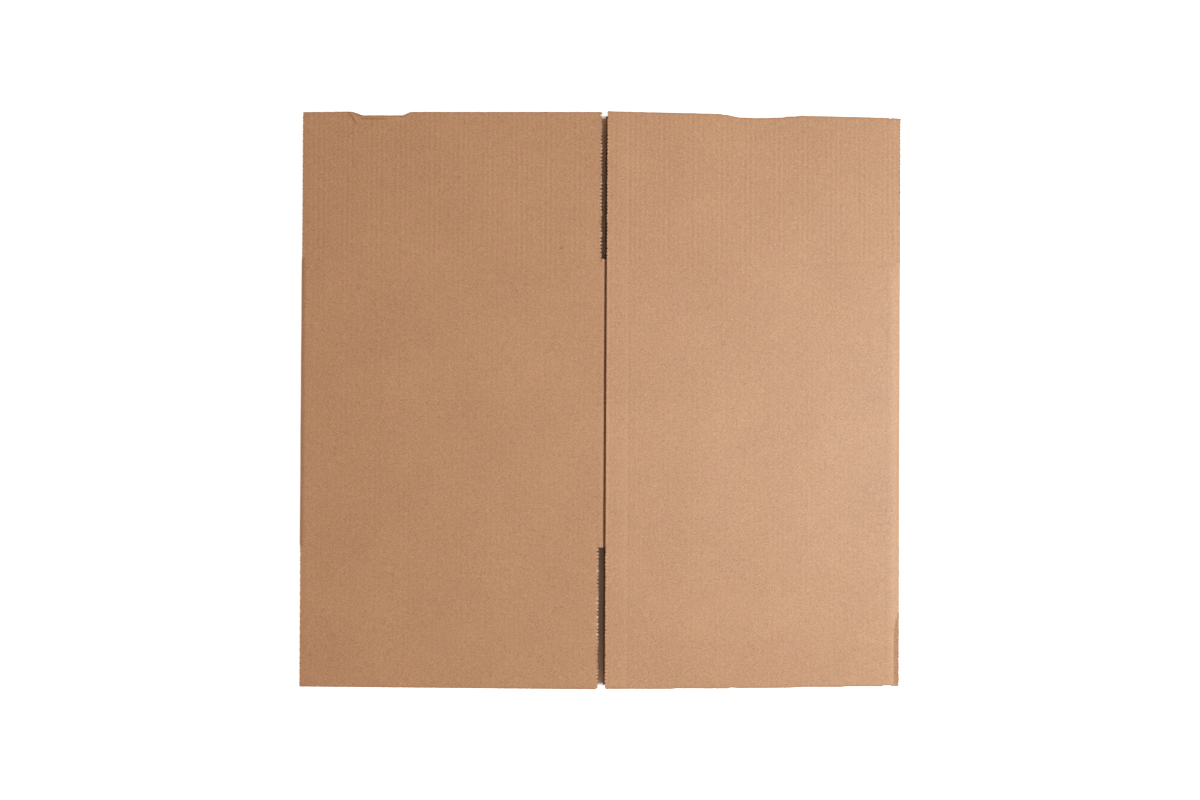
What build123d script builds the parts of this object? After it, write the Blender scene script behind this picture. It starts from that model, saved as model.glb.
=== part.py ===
"""Double-wall corrugated shipping box, knocked down flat with its glued joint upwards.

Four wall panels form a ring that lies flat as two layers. The lower layer is flat on the ground.
The upper layer rises from the two side folds to a low ridge at the glued joint. Each panel carries
a flap at the top and at the bottom: the four upper flaps are pieces of their own, hinged on the score
lines, and the four lower flaps are part of the sheet beneath them.
+X runs across the folded box, +Y along its height and +Z up. The origin is under its middle.
"""

import math
import os

from build123d import *

os.makedirs("parts", exist_ok=True)

# Board, from its outer face inwards: liner, B flute, liner, C flute, liner
liner = 0.4
b_height = 2.6
b_pitch = 6.49
c_height = 3.2
c_pitch = 7.81
medium = 0.5  # paper left between two flute ends
flute_end_depth = 12.0  # the core is open this far in from a cut edge
board = 3 * liner + b_height + c_height
crease_width = 10.0  # score lines, pressed into the inner face
crease_depth = 3.0

# Panels and flaps
left_panel = 408.0  # left fold to the crease of the glue tab
right_panel = 401.0  # cut edge at the joint to the right fold
body_height = 385.0
top_flap = 197.0
bottom_flap = 189.0
flap_inset = 2.0  # side edges of the flaps, in from the folds

# Side folds
fold_gap = 3.0  # clear space inside a flattened fold
spring_angle = 2.5  # degrees that the left fold springs open

# Glued joint
joint_gap = 2.2
tab_width = 30.0
tab_thickness = 4.0  # the tab is crushed
tab_end_angle = 12.0  # degrees that the tab narrows at each end

# Slots between the flaps
top_slot = 7.3
bottom_slot = 9.2
back_slot = 11.5

# Bumps on the top edge
notch_width = 70.0
notch_slope = 8.0  # width of each sloping end
notch_depth = 4.8
notch_from_left = 106.0  # left fold to the middle of the notch
wave_width = 110.0
wave_depth = 4.5
wave_from_right = 194.0  # right fold to the middle of the wave

# Plan
total_width = left_panel + joint_gap + right_panel
total_height = top_flap + body_height + bottom_flap
x_left = -total_width / 2
x_right = total_width / 2
x_joint = x_left + left_panel
x_cut = x_joint + joint_gap
x_back_crease = x_right - left_panel  # opposite panels are equal
y_top = total_height / 2
y_bottom = -total_height / 2
y_top_crease = y_top - top_flap
y_bottom_crease = y_bottom + bottom_flap
crease_radius = (crease_width**2 / 4 + crease_depth**2) / (2 * crease_depth)

# The left upper panel is a plane tangent to the left fold
inner_radius = fold_gap / 2
fold_radius = board + inner_radius
left_rise = math.radians(spring_angle)
left_along = (math.cos(left_rise), math.sin(left_rise))
left_normal = (-math.sin(left_rise), math.cos(left_rise))
left_centre = (x_left + fold_radius, fold_radius)
left_tangent = (
    left_centre[0] + fold_radius * left_normal[0],
    left_centre[1] + fold_radius * left_normal[1],
)


def left_top(x):
    """Height of the left upper panel's outer face."""
    return left_tangent[1] + (x - left_tangent[0]) * math.tan(left_rise)


# The right upper panel is a plane from the top of the tab, tangent to the right fold
tab_top = left_top(x_joint) - board + tab_thickness
right_centre = (x_right - fold_radius, fold_radius)
to_centre = (right_centre[0] - x_cut, right_centre[1] - tab_top)
right_fall = -math.atan2(to_centre[1], to_centre[0]) - math.asin(inner_radius / math.hypot(*to_centre))
right_along = (math.cos(right_fall), -math.sin(right_fall))
right_normal = (math.sin(right_fall), math.cos(right_fall))
right_tangent = (
    right_centre[0] + fold_radius * right_normal[0],
    right_centre[1] + fold_radius * right_normal[1],
)


def from_cut(along, up):
    """Point of the section, measured from the lower corner of the right panel's cut edge."""
    return (
        x_cut + along * right_along[0] + up * right_normal[0],
        tab_top + along * right_along[1] + up * right_normal[1],
    )


def fold_inside(centre, normal):
    """Point of a fold's inner face where the upper panel leaves it."""
    return (centre[0] + inner_radius * normal[0], centre[1] + inner_radius * normal[1])


left_face = Plane(
    origin=(x_joint, 0, left_top(x_joint)),
    x_dir=(left_along[0], 0, left_along[1]),
    z_dir=(left_normal[0], 0, left_normal[1]),
)
lower_face = Plane(origin=(0, 0, 0), x_dir=(-1, 0, 0), z_dir=(0, 0, -1))
right_corner = from_cut(0, board)
right_face = Plane(
    origin=(right_corner[0], 0, right_corner[1]),
    x_dir=(right_along[0], 0, right_along[1]),
    z_dir=(right_normal[0], 0, right_normal[1]),
)

# Places along each upper panel's own slope, from the origin of its face
left_length = left_panel / left_along[0]
left_flat_start = (left_tangent[0] - x_joint) / left_along[0]
right_length = (x_right - right_corner[0]) / right_along[0]
right_flat_end = (right_tangent[0] - right_corner[0]) / right_along[0]


def crease_plane(face, along, y_crease):
    """Section plane across a score line on the inner side of an upper panel, facing along it."""
    origin = face.origin + face.x_dir * along + Vector(0, y_crease, 0) - face.z_dir * board
    return Plane(origin=origin, x_dir=(0, -1, 0), z_dir=face.x_dir)


def flute_ends(face, y_end, x_from, x_to):
    """Arches of both flutes in the section at y_end, between two places along a panel's outer face."""
    section = Plane(origin=face.origin + Vector(0, y_end, 0), x_dir=face.x_dir, z_dir=(0, 1, 0))
    with BuildSketch(section) as row:
        for pitch, height, depth in (
            (b_pitch, b_height, liner),
            (c_pitch, c_height, 2 * liner + b_height),
        ):
            half_base = (pitch - medium) / 2
            with Locations(((x_from + x_to) / 2, depth)):
                with GridLocations(pitch, pitch, int((x_to - x_from) / pitch), 1):
                    Polygon((-half_base, 0), (half_base, 0), (0, height))
    return row.sketch


# A score line's groove, as pressed into a face that looks up its local Y
with BuildSketch() as crease_shape:
    with BuildLine():
        ThreePointArc((-crease_width / 2, 0), (0, -crease_depth), (crease_width / 2, 0))
        Line((crease_width / 2, 0), (-crease_width / 2, 0))
    make_face()

# Bumps, as shapes taken off a straight edge at their middle
with BuildSketch() as notch_shape:
    Polygon(
        (-notch_width / 2, 0),
        (notch_slope - notch_width / 2, -notch_depth),
        (notch_width / 2 - notch_slope, -notch_depth),
        (notch_width / 2, 0),
        (notch_width / 2, notch_depth),
        (-notch_width / 2, notch_depth),
    )

with BuildSketch() as wave_shape:
    with BuildLine():
        TangentArc((-wave_width / 2, 0), (-wave_width / 4, -wave_depth / 2), tangent=(1, 0))
        ThreePointArc(
            (-wave_width / 4, -wave_depth / 2),
            (0, -wave_depth),
            (wave_width / 4, -wave_depth / 2),
        )
        TangentArc((wave_width / 2, 0), (wave_width / 4, -wave_depth / 2), tangent=(-1, 0))
        Polyline(
            (wave_width / 2, 0),
            (wave_width / 2, wave_depth),
            (-wave_width / 2, wave_depth),
            (-wave_width / 2, 0),
        )
    make_face()


# Sheet: ring of wall panels with the tab, and the four lower flaps
with BuildPart() as box_body:
    with BuildSketch(Plane.XZ.offset(-y_top_crease)):
        with BuildLine():
            Line((left_centre[0], 0), (right_centre[0], 0))
            ThreePointArc((right_centre[0], 0), (x_right, fold_radius), right_tangent)
            Polyline(right_tangent, from_cut(0, board), (x_cut, tab_top), (x_joint, tab_top))
            TangentArc(
                (x_joint - board + tab_thickness, left_top(x_joint - board + tab_thickness)),
                (x_joint, tab_top),
                tangent=left_along,
            )
            Line(
                (x_joint - board + tab_thickness, left_top(x_joint - board + tab_thickness)),
                left_tangent,
            )
            ThreePointArc(left_tangent, (x_left, fold_radius), (left_centre[0], 0))
        make_face()
        with BuildLine():
            Line((left_centre[0], board), (right_centre[0], board))
            ThreePointArc(
                (right_centre[0], board),
                (right_centre[0] + inner_radius, fold_radius),
                fold_inside(right_centre, right_normal),
            )
            Polyline(
                fold_inside(right_centre, right_normal),
                from_cut(tab_width - joint_gap, 0),
                from_cut(tab_width - joint_gap, -tab_thickness),
                from_cut(0, -tab_thickness),
                (x_joint, left_top(x_joint) - board / left_along[0]),
                fold_inside(left_centre, left_normal),
            )
            ThreePointArc(
                fold_inside(left_centre, left_normal),
                (left_centre[0] - inner_radius, fold_radius),
                (left_centre[0], board),
            )
        make_face(mode=Mode.SUBTRACT)
    extrude(amount=body_height)

    # The tab narrows towards its free edge
    tab_taper = tab_width * math.tan(math.radians(tab_end_angle))
    with BuildSketch(right_face.offset(-board)):
        for y_end, side in ((y_top_crease, -1), (y_bottom_crease, 1)):
            with BuildLine():
                Polyline(
                    (-joint_gap, y_end),
                    (tab_width, y_end),
                    (tab_width, y_end + side * tab_taper),
                    close=True,
                )
            make_face()
    extrude(amount=-2 * tab_thickness, mode=Mode.SUBTRACT)

    # Lower flaps, with the slots between them and the bumps on their top edge
    with BuildSketch():
        for y_middle, height in (
            (y_top - top_flap / 2, top_flap),
            (y_bottom + bottom_flap / 2, bottom_flap),
        ):
            with Locations((0, y_middle)):
                Rectangle(total_width - 2 * flap_inset, height)
            with Locations((x_back_crease, y_middle)):
                Rectangle(back_slot, height, mode=Mode.SUBTRACT)
        with Locations((x_left + notch_from_left, y_top)):
            add(notch_shape.sketch, mode=Mode.SUBTRACT)
        with Locations((x_right - wave_from_right, y_top)):
            add(wave_shape.sketch, mode=Mode.SUBTRACT)
    extrude(amount=board)

    # Score lines across the lower layer at its flaps, and down its middle
    for y_crease in (y_top_crease, y_bottom_crease):
        with BuildSketch(Plane.YZ.offset(left_centre[0])):
            with Locations((y_crease, board)):
                add(crease_shape.sketch)
        extrude(amount=right_centre[0] - left_centre[0], mode=Mode.SUBTRACT)
    with BuildSketch(Plane.XZ.offset(-y_top_crease)):
        with Locations((x_back_crease, board)):
            add(crease_shape.sketch)
    extrude(amount=body_height, mode=Mode.SUBTRACT)

    # Score lines at the ends of the upper panels, half of each on the panel and half on its flap
    for face, start, length in (
        (left_face, left_flat_start, -left_flat_start - tab_width / 2),
        (right_face, tab_width, right_flat_end - tab_width),
    ):
        for y_crease in (y_top_crease, y_bottom_crease):
            with BuildSketch(crease_plane(face, start, y_crease)):
                add(crease_shape.sketch)
            extrude(amount=length, mode=Mode.SUBTRACT)

    # Open flute ends of the lower flaps, each side of their slots
    for y_end, depth in ((y_top, -flute_end_depth), (y_bottom, flute_end_depth)):
        for x_from, x_to in (
            (flap_inset - x_right, -x_back_crease - back_slot / 2),
            (-x_back_crease + back_slot / 2, -x_left - flap_inset),
        ):
            row = flute_ends(lower_face, y_end, x_from, x_to)
            extrude(to_extrude=row, amount=depth, mode=Mode.SUBTRACT)
box_body.part.label = "box_body"
export_step(box_body.part, "parts/box_body.step")


def upper_flap(label, face, x_start, x_end, y_crease, length, bump=None, bump_x=0):
    """Flat flap under a panel's outer face; x is along the panel, and length is signed along Y."""
    with BuildPart() as flap:
        with BuildSketch(face):
            with Locations(((x_start + x_end) / 2, y_crease + length / 2)):
                Rectangle(x_end - x_start, abs(length))
            if bump:
                with Locations((bump_x, y_crease + length)):
                    add(bump.sketch, mode=Mode.SUBTRACT)
        extrude(amount=-board)
        with BuildSketch(crease_plane(face, x_start, y_crease)):
            add(crease_shape.sketch)
        extrude(amount=x_end - x_start, mode=Mode.SUBTRACT)
        row = flute_ends(face, y_crease + length, x_start, x_end)
        extrude(
            to_extrude=row,
            amount=-math.copysign(flute_end_depth, length),
            mode=Mode.SUBTRACT,
        )
    flap.part.label = label
    export_step(flap.part, f"parts/{label}.step")


upper_flap(
    "flap_top_left",
    left_face,
    flap_inset - left_length,
    joint_gap - top_slot,
    y_top_crease,
    top_flap,
    notch_shape,
    notch_from_left - left_length,
)
upper_flap(
    "flap_top_right",
    right_face,
    0,
    right_length - flap_inset,
    y_top_crease,
    top_flap,
    wave_shape,
    right_length - wave_from_right,
)
upper_flap(
    "flap_bottom_left",
    left_face,
    flap_inset - left_length,
    joint_gap - bottom_slot,
    y_bottom_crease,
    -bottom_flap,
)
upper_flap(
    "flap_bottom_right",
    right_face,
    0,
    right_length - flap_inset,
    y_bottom_crease,
    -bottom_flap,
)
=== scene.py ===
import math

import bpy
import numpy as np
from mathutils import Matrix


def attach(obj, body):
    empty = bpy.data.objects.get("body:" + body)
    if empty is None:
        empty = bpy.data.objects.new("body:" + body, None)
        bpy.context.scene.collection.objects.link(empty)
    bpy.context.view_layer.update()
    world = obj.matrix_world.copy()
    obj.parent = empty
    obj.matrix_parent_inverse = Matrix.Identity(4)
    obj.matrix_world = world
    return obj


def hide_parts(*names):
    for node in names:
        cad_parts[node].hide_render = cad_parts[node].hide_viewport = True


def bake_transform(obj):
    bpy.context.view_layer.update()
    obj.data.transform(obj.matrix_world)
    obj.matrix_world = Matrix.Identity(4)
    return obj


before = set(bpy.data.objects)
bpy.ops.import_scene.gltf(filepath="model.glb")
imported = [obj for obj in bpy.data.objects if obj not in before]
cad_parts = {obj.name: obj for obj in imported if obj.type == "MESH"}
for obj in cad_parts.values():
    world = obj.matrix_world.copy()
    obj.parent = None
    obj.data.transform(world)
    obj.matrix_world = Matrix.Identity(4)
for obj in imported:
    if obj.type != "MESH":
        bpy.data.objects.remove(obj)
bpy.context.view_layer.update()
print("frame loaded")

# The folded box in millimetres: +X across, +Y along its height, +Z up
box = {
    "liner": 0.4, "paper": 0.26,
    "bHeight": 2.6, "bPitch": 6.49,
    "cHeight": 3.2, "cPitch": 7.81,
    "leftWall": 408.0, "rightWall": 401.0, "bodyHeight": 385.0,
    "topFlap": 197.0, "bottomFlap": 189.0, "flapInset": 2.0,
    "foldGap": 3.0, "springAngle": 2.5,
    "jointGap": 2.2, "tabWidth": 30.0, "tabThickness": 4.0, "tabEndAngle": 12.0,
    "topSlot": 7.3, "bottomSlot": 9.2, "backSlot": 11.5,
    "scoreWidth": 10.0, "scoreDepth": 3.0,
    "hingeReach": 6.0,
}
toMetres = 0.001
board = 3 * box["liner"] + box["bHeight"] + box["cHeight"]
middleLiner = box["liner"] + box["bHeight"]
flutes = ((box["liner"], box["bHeight"], box["bPitch"]),
          (middleLiner + box["liner"], box["cHeight"], box["cPitch"]))
xRight = (box["leftWall"] + box["jointGap"] + box["rightWall"]) / 2
xLeft = -xRight
xJoint = xLeft + box["leftWall"]
xCut = xJoint + box["jointGap"]
xBackScore = xRight - box["leftWall"]
yTop = (box["topFlap"] + box["bodyHeight"] + box["bottomFlap"]) / 2
yTopScore = yTop - box["topFlap"]
yBottomScore = -yTop + box["bottomFlap"]
scoreLines = (yTopScore, yBottomScore)
insideRadius = box["foldGap"] / 2
foldRadius = board + insideRadius

# Left wall: a plane that leaves the left fold and rises to the joint
rise = math.radians(box["springAngle"])
leftAlong = np.array([math.cos(rise), math.sin(rise)])
leftOut = np.array([-math.sin(rise), math.cos(rise)])
leftCentre = np.array([xLeft + foldRadius, foldRadius])
leftTangent = leftCentre + foldRadius * leftOut
leftOrigin = np.array([xJoint, leftTangent[1] + (xJoint - leftTangent[0]) * math.tan(rise)])
leftFlatStart = (leftTangent[0] - xJoint) / leftAlong[0]
leftFlapStart = (xLeft - xJoint) / leftAlong[0] + box["flapInset"]
leftFoldEnd = leftFlatStart - foldRadius * (math.pi - rise)

# Right wall: a plane from the top of the glue tab down to the right fold
tabDrop = board - box["tabThickness"]
tabTop = leftOrigin[1] - tabDrop
rightCentre = np.array([xRight - foldRadius, foldRadius])
toCentre = rightCentre - np.array([xCut, tabTop])
fall = -math.atan2(toCentre[1], toCentre[0]) - math.asin(insideRadius / math.hypot(*toCentre))
rightAlong = np.array([math.cos(fall), -math.sin(fall)])
rightOut = np.array([math.sin(fall), math.cos(fall)])
rightOrigin = np.array([xCut, tabTop]) + board * rightOut
rightFlapEnd = (xRight - rightOrigin[0]) / rightAlong[0] - box["flapInset"]
rightFlatEnd = float((rightCentre - rightOrigin) @ rightAlong)
rightFoldEnd = rightFlatEnd + foldRadius * (math.pi - fall)

# Soft random shapes are sums of this many sine waves, over "peak" to keep them within about one
softLine = {"waves": 6, "peak": 3.2}
softSurface = {"waves": 8, "peak": 4.0}


# A soft random line: its waves have seeded lengths, from shortest to longest, and seeded phases.
def drift(x, seed, shortest, longest):
    dice = np.random.default_rng(seed)
    lengths = np.exp(dice.uniform(np.log(shortest), np.log(longest), softLine["waves"]))
    phases = dice.uniform(0, 2 * np.pi, softLine["waves"])
    waves = np.sin(2 * np.pi * np.asarray(x, float)[..., None] / lengths + phases)
    return waves.sum(-1) / softLine["peak"]


# The same over a surface: each wave runs in its own seeded direction.
def swell(x, y, seed, shortest, longest):
    dice = np.random.default_rng(seed)
    lengths = np.exp(dice.uniform(np.log(shortest), np.log(longest), softSurface["waves"]))
    ways = dice.uniform(0, np.pi, softSurface["waves"])
    phases = dice.uniform(0, 2 * np.pi, softSurface["waves"])
    along = x[..., None] * np.cos(ways) + y[..., None] * np.sin(ways)
    return np.sin(2 * np.pi * along / lengths + phases).sum(-1) / softSurface["peak"]


# 0 below a, 1 above b, and the cubic 3t^2 - 2t^3 between
def smooth(x, a, b):
    t = np.clip((x - a) / (b - a), 0, 1)
    return t * t * (3 - 2 * t)


# A bump of height 1 at centre: exp(-(x - centre)^2 / (2 width^2))
def hump(x, centre, width):
    return np.exp(-((x - centre) ** 2) / (2 * width**2))


# A share that fades with the distance from an edge: exp(-distance / reach), and 1 past the edge
def fade(distance, reach):
    return np.exp(-np.maximum(distance, 0) / reach)


# Left wall's path: point = origin + s * along on the plane, and round the fold's centre past its
# start; right of the joint it follows the underside of the right wall as the glue tab.
def leftPath(s):
    turn = rise + np.pi / 2 + np.maximum(leftFlatStart - s, 0) / foldRadius
    outX = np.where(s < leftFlatStart, np.cos(turn), leftOut[0])
    outZ = np.where(s < leftFlatStart, np.sin(turn), leftOut[1])
    onPlane = np.maximum(s, leftFlatStart)
    x = leftOrigin[0] + np.minimum(onPlane, 0) * leftAlong[0]
    z = leftOrigin[1] + np.minimum(onPlane, 0) * leftAlong[1]
    x = np.where(s < leftFlatStart, leftCentre[0] + foldRadius * outX, x)
    z = np.where(s < leftFlatStart, leftCentre[1] + foldRadius * outZ, z)
    gap = box["jointGap"]
    under = np.clip(s / gap, 0, 1)
    tabStart = np.array([xCut, tabTop]) + tabDrop * rightOut
    past = np.maximum(s - gap, 0)
    x = np.where(s > 0, (1 - under) * leftOrigin[0] + under * tabStart[0] + past * rightAlong[0], x)
    z = np.where(s > 0, (1 - under) * leftOrigin[1] + under * tabStart[1] + past * rightAlong[1], z)
    outX = np.where(s > 0, (1 - under) * leftOut[0] + under * rightOut[0], outX)
    outZ = np.where(s > 0, (1 - under) * leftOut[1] + under * rightOut[1], outZ)
    return x, z, outX, outZ


# Right wall's path: point = origin + s * along on the plane, then round the right fold's centre.
def rightPath(s):
    turn = np.pi / 2 - fall - np.maximum(s - rightFlatEnd, 0) / foldRadius
    past = s > rightFlatEnd
    outX = np.where(past, np.cos(turn), rightOut[0])
    outZ = np.where(past, np.sin(turn), rightOut[1])
    x = np.where(past, rightCentre[0] + foldRadius * outX, rightOrigin[0] + s * rightAlong[0])
    z = np.where(past, rightCentre[1] + foldRadius * outZ, rightOrigin[1] + s * rightAlong[1])
    return x, z, outX, outZ


# Flaps leave the folds flat: point = origin + s * along everywhere.
def straightPath(s, origin, along, out):
    one = np.ones_like(s)
    return origin[0] + s * along[0], origin[1] + s * along[1], out[0] * one, out[1] * one


def leftFlapPath(s):
    return straightPath(s, leftOrigin, leftAlong, leftOut)


def rightFlapPath(s):
    return straightPath(s, rightOrigin, rightAlong, rightOut)


# Lower layer: x itself, with its outer face down on the ground.
def lowerPath(s):
    return s, np.zeros_like(s), np.zeros_like(s), -np.ones_like(s)


# Share of the board's thickness left at a score line: 1 - groove / board, where the groove is the
# circular arc that the creasing wheel presses into the inner face.
def scored(y, lines=scoreLines):
    half, deep = box["scoreWidth"] / 2, box["scoreDepth"]
    radius = (half**2 + deep**2) / (2 * deep)
    groove = np.zeros_like(y)
    for line in lines:
        away = np.minimum(np.abs(y - line), half)
        groove = np.maximum(groove, np.sqrt(radius**2 - away**2) - (radius - deep))
    return 1 - groove / board


# How far the cut ends stand back, in millimetres, as straight runs between a few knees: a crushed
# notch at the top left and a long hollow at the top right, measured from the box's own sides, and
# small steps along the bottom right end. The top ends stand back by "topBack" all along, and uneven
# fibres add up to "uneven" more.
cutEnds = {
    "notch": ((2.0, 0.6), (4.0, 0.2), (44.0, 0.0), (46.0, -0.35), (69.0, -0.3), (70.5, 0.2), (76.0, 2.3),
              (80.5, 4.2), (84.0, 4.7), (136.0, 4.8), (140.5, 3.0), (145.5, 0.6), (152.0, 0.0)),
    "hollow": ((2.0, 2.4), (4.5, 0.9), (8.0, 0.4), (14.0, 0.3), (15.5, 1.4), (17.5, 1.3), (19.0, 0.2),
               (60.0, 0.0), (140.0, 0.0), (143.5, 0.4), (149.0, 1.3), (159.0, 1.6), (163.0, 2.8),
               (175.0, 3.6), (203.0, 4.5), (216.0, 4.2), (223.5, 4.4), (229.0, 3.2), (235.0, 2.1),
               (240.0, 1.0), (246.0, 0.9), (250.0, 0.0)),
    "steps": ((12.0, 1.5), (23.0, 1.6), (26.0, 0.5), (39.0, 0.5), (76.0, 0.9), (81.0, 0.1), (130.0, 0.8),
              (156.0, 0.0), (220.0, 0.3), (231.0, 1.3), (236.0, 0.0), (284.0, 0.8), (306.0, 1.1),
              (311.0, 0.4), (386.0, 1.3), (402.0, 1.4)),
    "topBack": 0.35, "uneven": 0.28, "fibreLengths": (2.6, 40), "topSeed": 21, "bottomSeed": 22,
}


def knees(x, points):
    places, depths = zip(*points)
    return np.interp(x, places, depths, left=0.0, right=0.0)


def cutFibres(x, seed):
    return cutEnds["uneven"] * (0.5 + 0.5 * np.clip(drift(x, seed, *cutEnds["fibreLengths"]), -1, 1))


def topBump(x):
    notch = knees(x - xLeft, cutEnds["notch"])
    hollow = knees(xRight - x, cutEnds["hollow"])
    return np.maximum(cutEnds["topBack"] + notch + hollow + cutFibres(x, cutEnds["topSeed"]), 0)


def bottomBump(x):
    smallSteps = knees(xRight - x, cutEnds["steps"])
    return np.where(x > xJoint, smallSteps, 0) + cutFibres(x, cutEnds["bottomSeed"])


def endBump(path, s, sign):
    return (topBump if sign > 0 else bottomBump)(path(s)[0])


# Material numbers of a layer's front, back and cut walls, for the outer liner and for what is inside
outerPaints = (0, 1, 2)
innerPaints = (1, 1, 2)


# One layer of the board on a grid of places s along the path and y along the box: every point is
# path(s) - depth * outward, once for its front and once for its back, and a wall closes each side
# where a kept cell has no neighbour. Shade and backShade darken or lighten the paper of each face.
def layer(store, path, s, y, front, back, keep=None, paints=innerPaints,
          faceDown=False, shade=1.0, backShade=1.0):
    rows, cols = s.shape
    keep = np.ones((rows - 1, cols - 1), bool) if keep is None else keep
    x, z, outX, outZ = path(s)
    half = []
    for depth in (front, back):
        half.append(np.stack([x - depth * outX, y, z - depth * outZ], -1).reshape(-1, 3))
    places = [np.stack([s, y, depth + 0 * s], -1).reshape(-1, 3) for depth in (front, back)]
    i, j = np.mgrid[0:rows - 1, 0:cols - 1]
    first = i * cols + j
    cells = np.stack([first, first + 1, first + cols + 1, first + cols], -1)
    count = rows * cols
    kept = cells[keep]
    faces = [kept, kept[:, ::-1] + count]
    paint = [np.full(len(kept), paints[0]), np.full(len(kept), paints[1])]
    around = np.pad(keep, 1)
    for di, dj, p, q in ((-1, 0, 0, 1), (0, 1, 1, 2), (1, 0, 2, 3), (0, -1, 3, 0)):
        side = cells[keep & ~around[1 + di:rows + di, 1 + dj:cols + dj]]
        faces.append(np.stack([side[:, q], side[:, p], side[:, p] + count, side[:, q] + count], 1))
        paint.append(np.full(len(side), paints[2]))
    faces = np.concatenate(faces)
    if faceDown:
        faces = faces[:, ::-1]
    shades = np.concatenate([(side + 0 * s).ravel() for side in (shade, backShade)])
    store.append((np.concatenate(half), faces, np.concatenate(paint), np.concatenate(places), shades))


# Depth of a fluted sheet's middle line: halfway between its liners, plus half its height less the
# paper, times the sine of s over the pitch.
def flute(s, top, height, pitch):
    return top + height / 2 + (height - box["paper"]) / 2 * np.sin(2 * np.pi * s / pitch)


sharpAngle = 35


# Puts stored layers into one mesh, in metres, with the place (s, y, depth) and the shade kept as
# attributes that the paper materials read, and edges over the sharp angle left sharp.
def makePiece(name, store, materials):
    offsets = np.cumsum([0] + [len(part[0]) for part in store[:-1]])
    points = np.concatenate([part[0] for part in store])
    faces = np.concatenate([part[1] + start for part, start in zip(store, offsets)])
    paint, places, shades = (np.concatenate([part[k] for part in store]) for k in (2, 3, 4))
    used, flat = np.unique(faces.ravel(), return_inverse=True)
    faces = flat.reshape(-1, 4)
    points, places, shades = points[used] * toMetres, places[used] * toMetres, shades[used]
    mesh = bpy.data.meshes.new(name)
    mesh.vertices.add(len(points))
    mesh.vertices.foreach_set("co", points.astype(np.float32).ravel())
    mesh.loops.add(faces.size)
    mesh.loops.foreach_set("vertex_index", faces.astype(np.int32).ravel())
    mesh.polygons.add(len(faces))
    mesh.polygons.foreach_set("loop_start", np.arange(0, faces.size, 4, dtype=np.int32))
    mesh.polygons.foreach_set("material_index", paint.astype(np.int32))
    mesh.polygons.foreach_set("use_smooth", np.ones(len(faces), bool))
    mesh.update(calc_edges=True)
    mesh.validate()
    mesh.set_sharp_from_angle(angle=math.radians(sharpAngle))
    place = mesh.attributes.new("boardPlace", "FLOAT_VECTOR", "POINT")
    place.data.foreach_set("vector", places.astype(np.float32).ravel())
    wearAndShade = mesh.attributes.new("paperShade", "FLOAT", "POINT")
    wearAndShade.data.foreach_set("value", shades.astype(np.float32))
    for material in materials:
        mesh.materials.append(material)
    piece = bpy.data.objects.new(name, mesh)
    bpy.context.scene.collection.objects.link(piece)
    print(name, "has", 2 * len(faces), "triangles")
    return piece


# Paper finishes
def nodesOf(material):
    material.use_nodes = True
    tree = material.node_tree
    shader = tree.nodes["Principled BSDF"]
    return tree, shader


def link(tree, a, b):
    tree.links.new(a, b)


def attribute(tree, name, output):
    node = tree.nodes.new("ShaderNodeAttribute")
    node.attribute_name = name
    return node.outputs[output]


def noise(tree, vector, scale, detail=2.0, rough=0.5, stretch=(1, 1, 1)):
    mapping = tree.nodes.new("ShaderNodeMapping")
    mapping.inputs["Scale"].default_value = [scale * k for k in stretch]
    link(tree, vector, mapping.inputs["Vector"])
    node = tree.nodes.new("ShaderNodeTexNoise")
    node.inputs["Scale"].default_value = 1.0
    node.inputs["Detail"].default_value = detail
    node.inputs["Roughness"].default_value = rough
    link(tree, mapping.outputs["Vector"], node.inputs["Vector"])
    return node.outputs["Fac"]


def mathNode(tree, kind, a, b, clamp=False):
    node = tree.nodes.new("ShaderNodeMath")
    node.operation = kind
    node.use_clamp = clamp
    for slot, value in zip(node.inputs, (a, b)):
        if isinstance(value, (int, float)):
            slot.default_value = value
        else:
            link(tree, value, slot)
    return node.outputs[0]


def ramp(tree, fac, stops):
    node = tree.nodes.new("ShaderNodeValToRGB")
    line = node.color_ramp
    while len(line.elements) < len(stops):
        line.elements.new(0.5)
    for element, (position, colour) in zip(line.elements, stops):
        element.position = position
        element.color = (*colour, 1)
    link(tree, fac, node.inputs["Fac"])
    return node.outputs["Color"]


def blendColour(tree, kind, fac, a, b):
    node = tree.nodes.new("ShaderNodeMix")
    node.data_type = "RGBA"
    node.blend_type = kind
    for slot, value in ((node.inputs[0], fac), (node.inputs[6], a), (node.inputs[7], b)):
        if isinstance(value, (int, float)):
            slot.default_value = value
        elif isinstance(value, tuple):
            slot.default_value = (*value, 1)
        else:
            link(tree, value, slot)
    return node.outputs[2]


kraft = {
    "dark": (0.458, 0.230, 0.115), "light": (0.541, 0.281, 0.144), "cloudStops": (0.12, 0.88),
    "fibreDark": (0.325, 0.140, 0.056), "fibreLight": (0.665, 0.363, 0.199), "fibreShare": 0.16,
    "fibreStops": (0.30, 0.44, 0.58, 0.74), "grains": {"grain": 0.45, "fineGrain": 1.08, "mottle": 0.12},
    "tints": (0.85, 1.12, 1.5), "wearAndShadeTints": (0.6, 1.0, 1.55), "hue": (0.0, 0.05, -0.07),
    "streak": 0.058, "bodyStreak": 0.4, "cStreak": 0.6,
    "roughness": 0.56, "roughSpread": 0.16, "shine": 0.6, "relief": 0.00005, "reliefStrength": 0.35,
}

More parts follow.
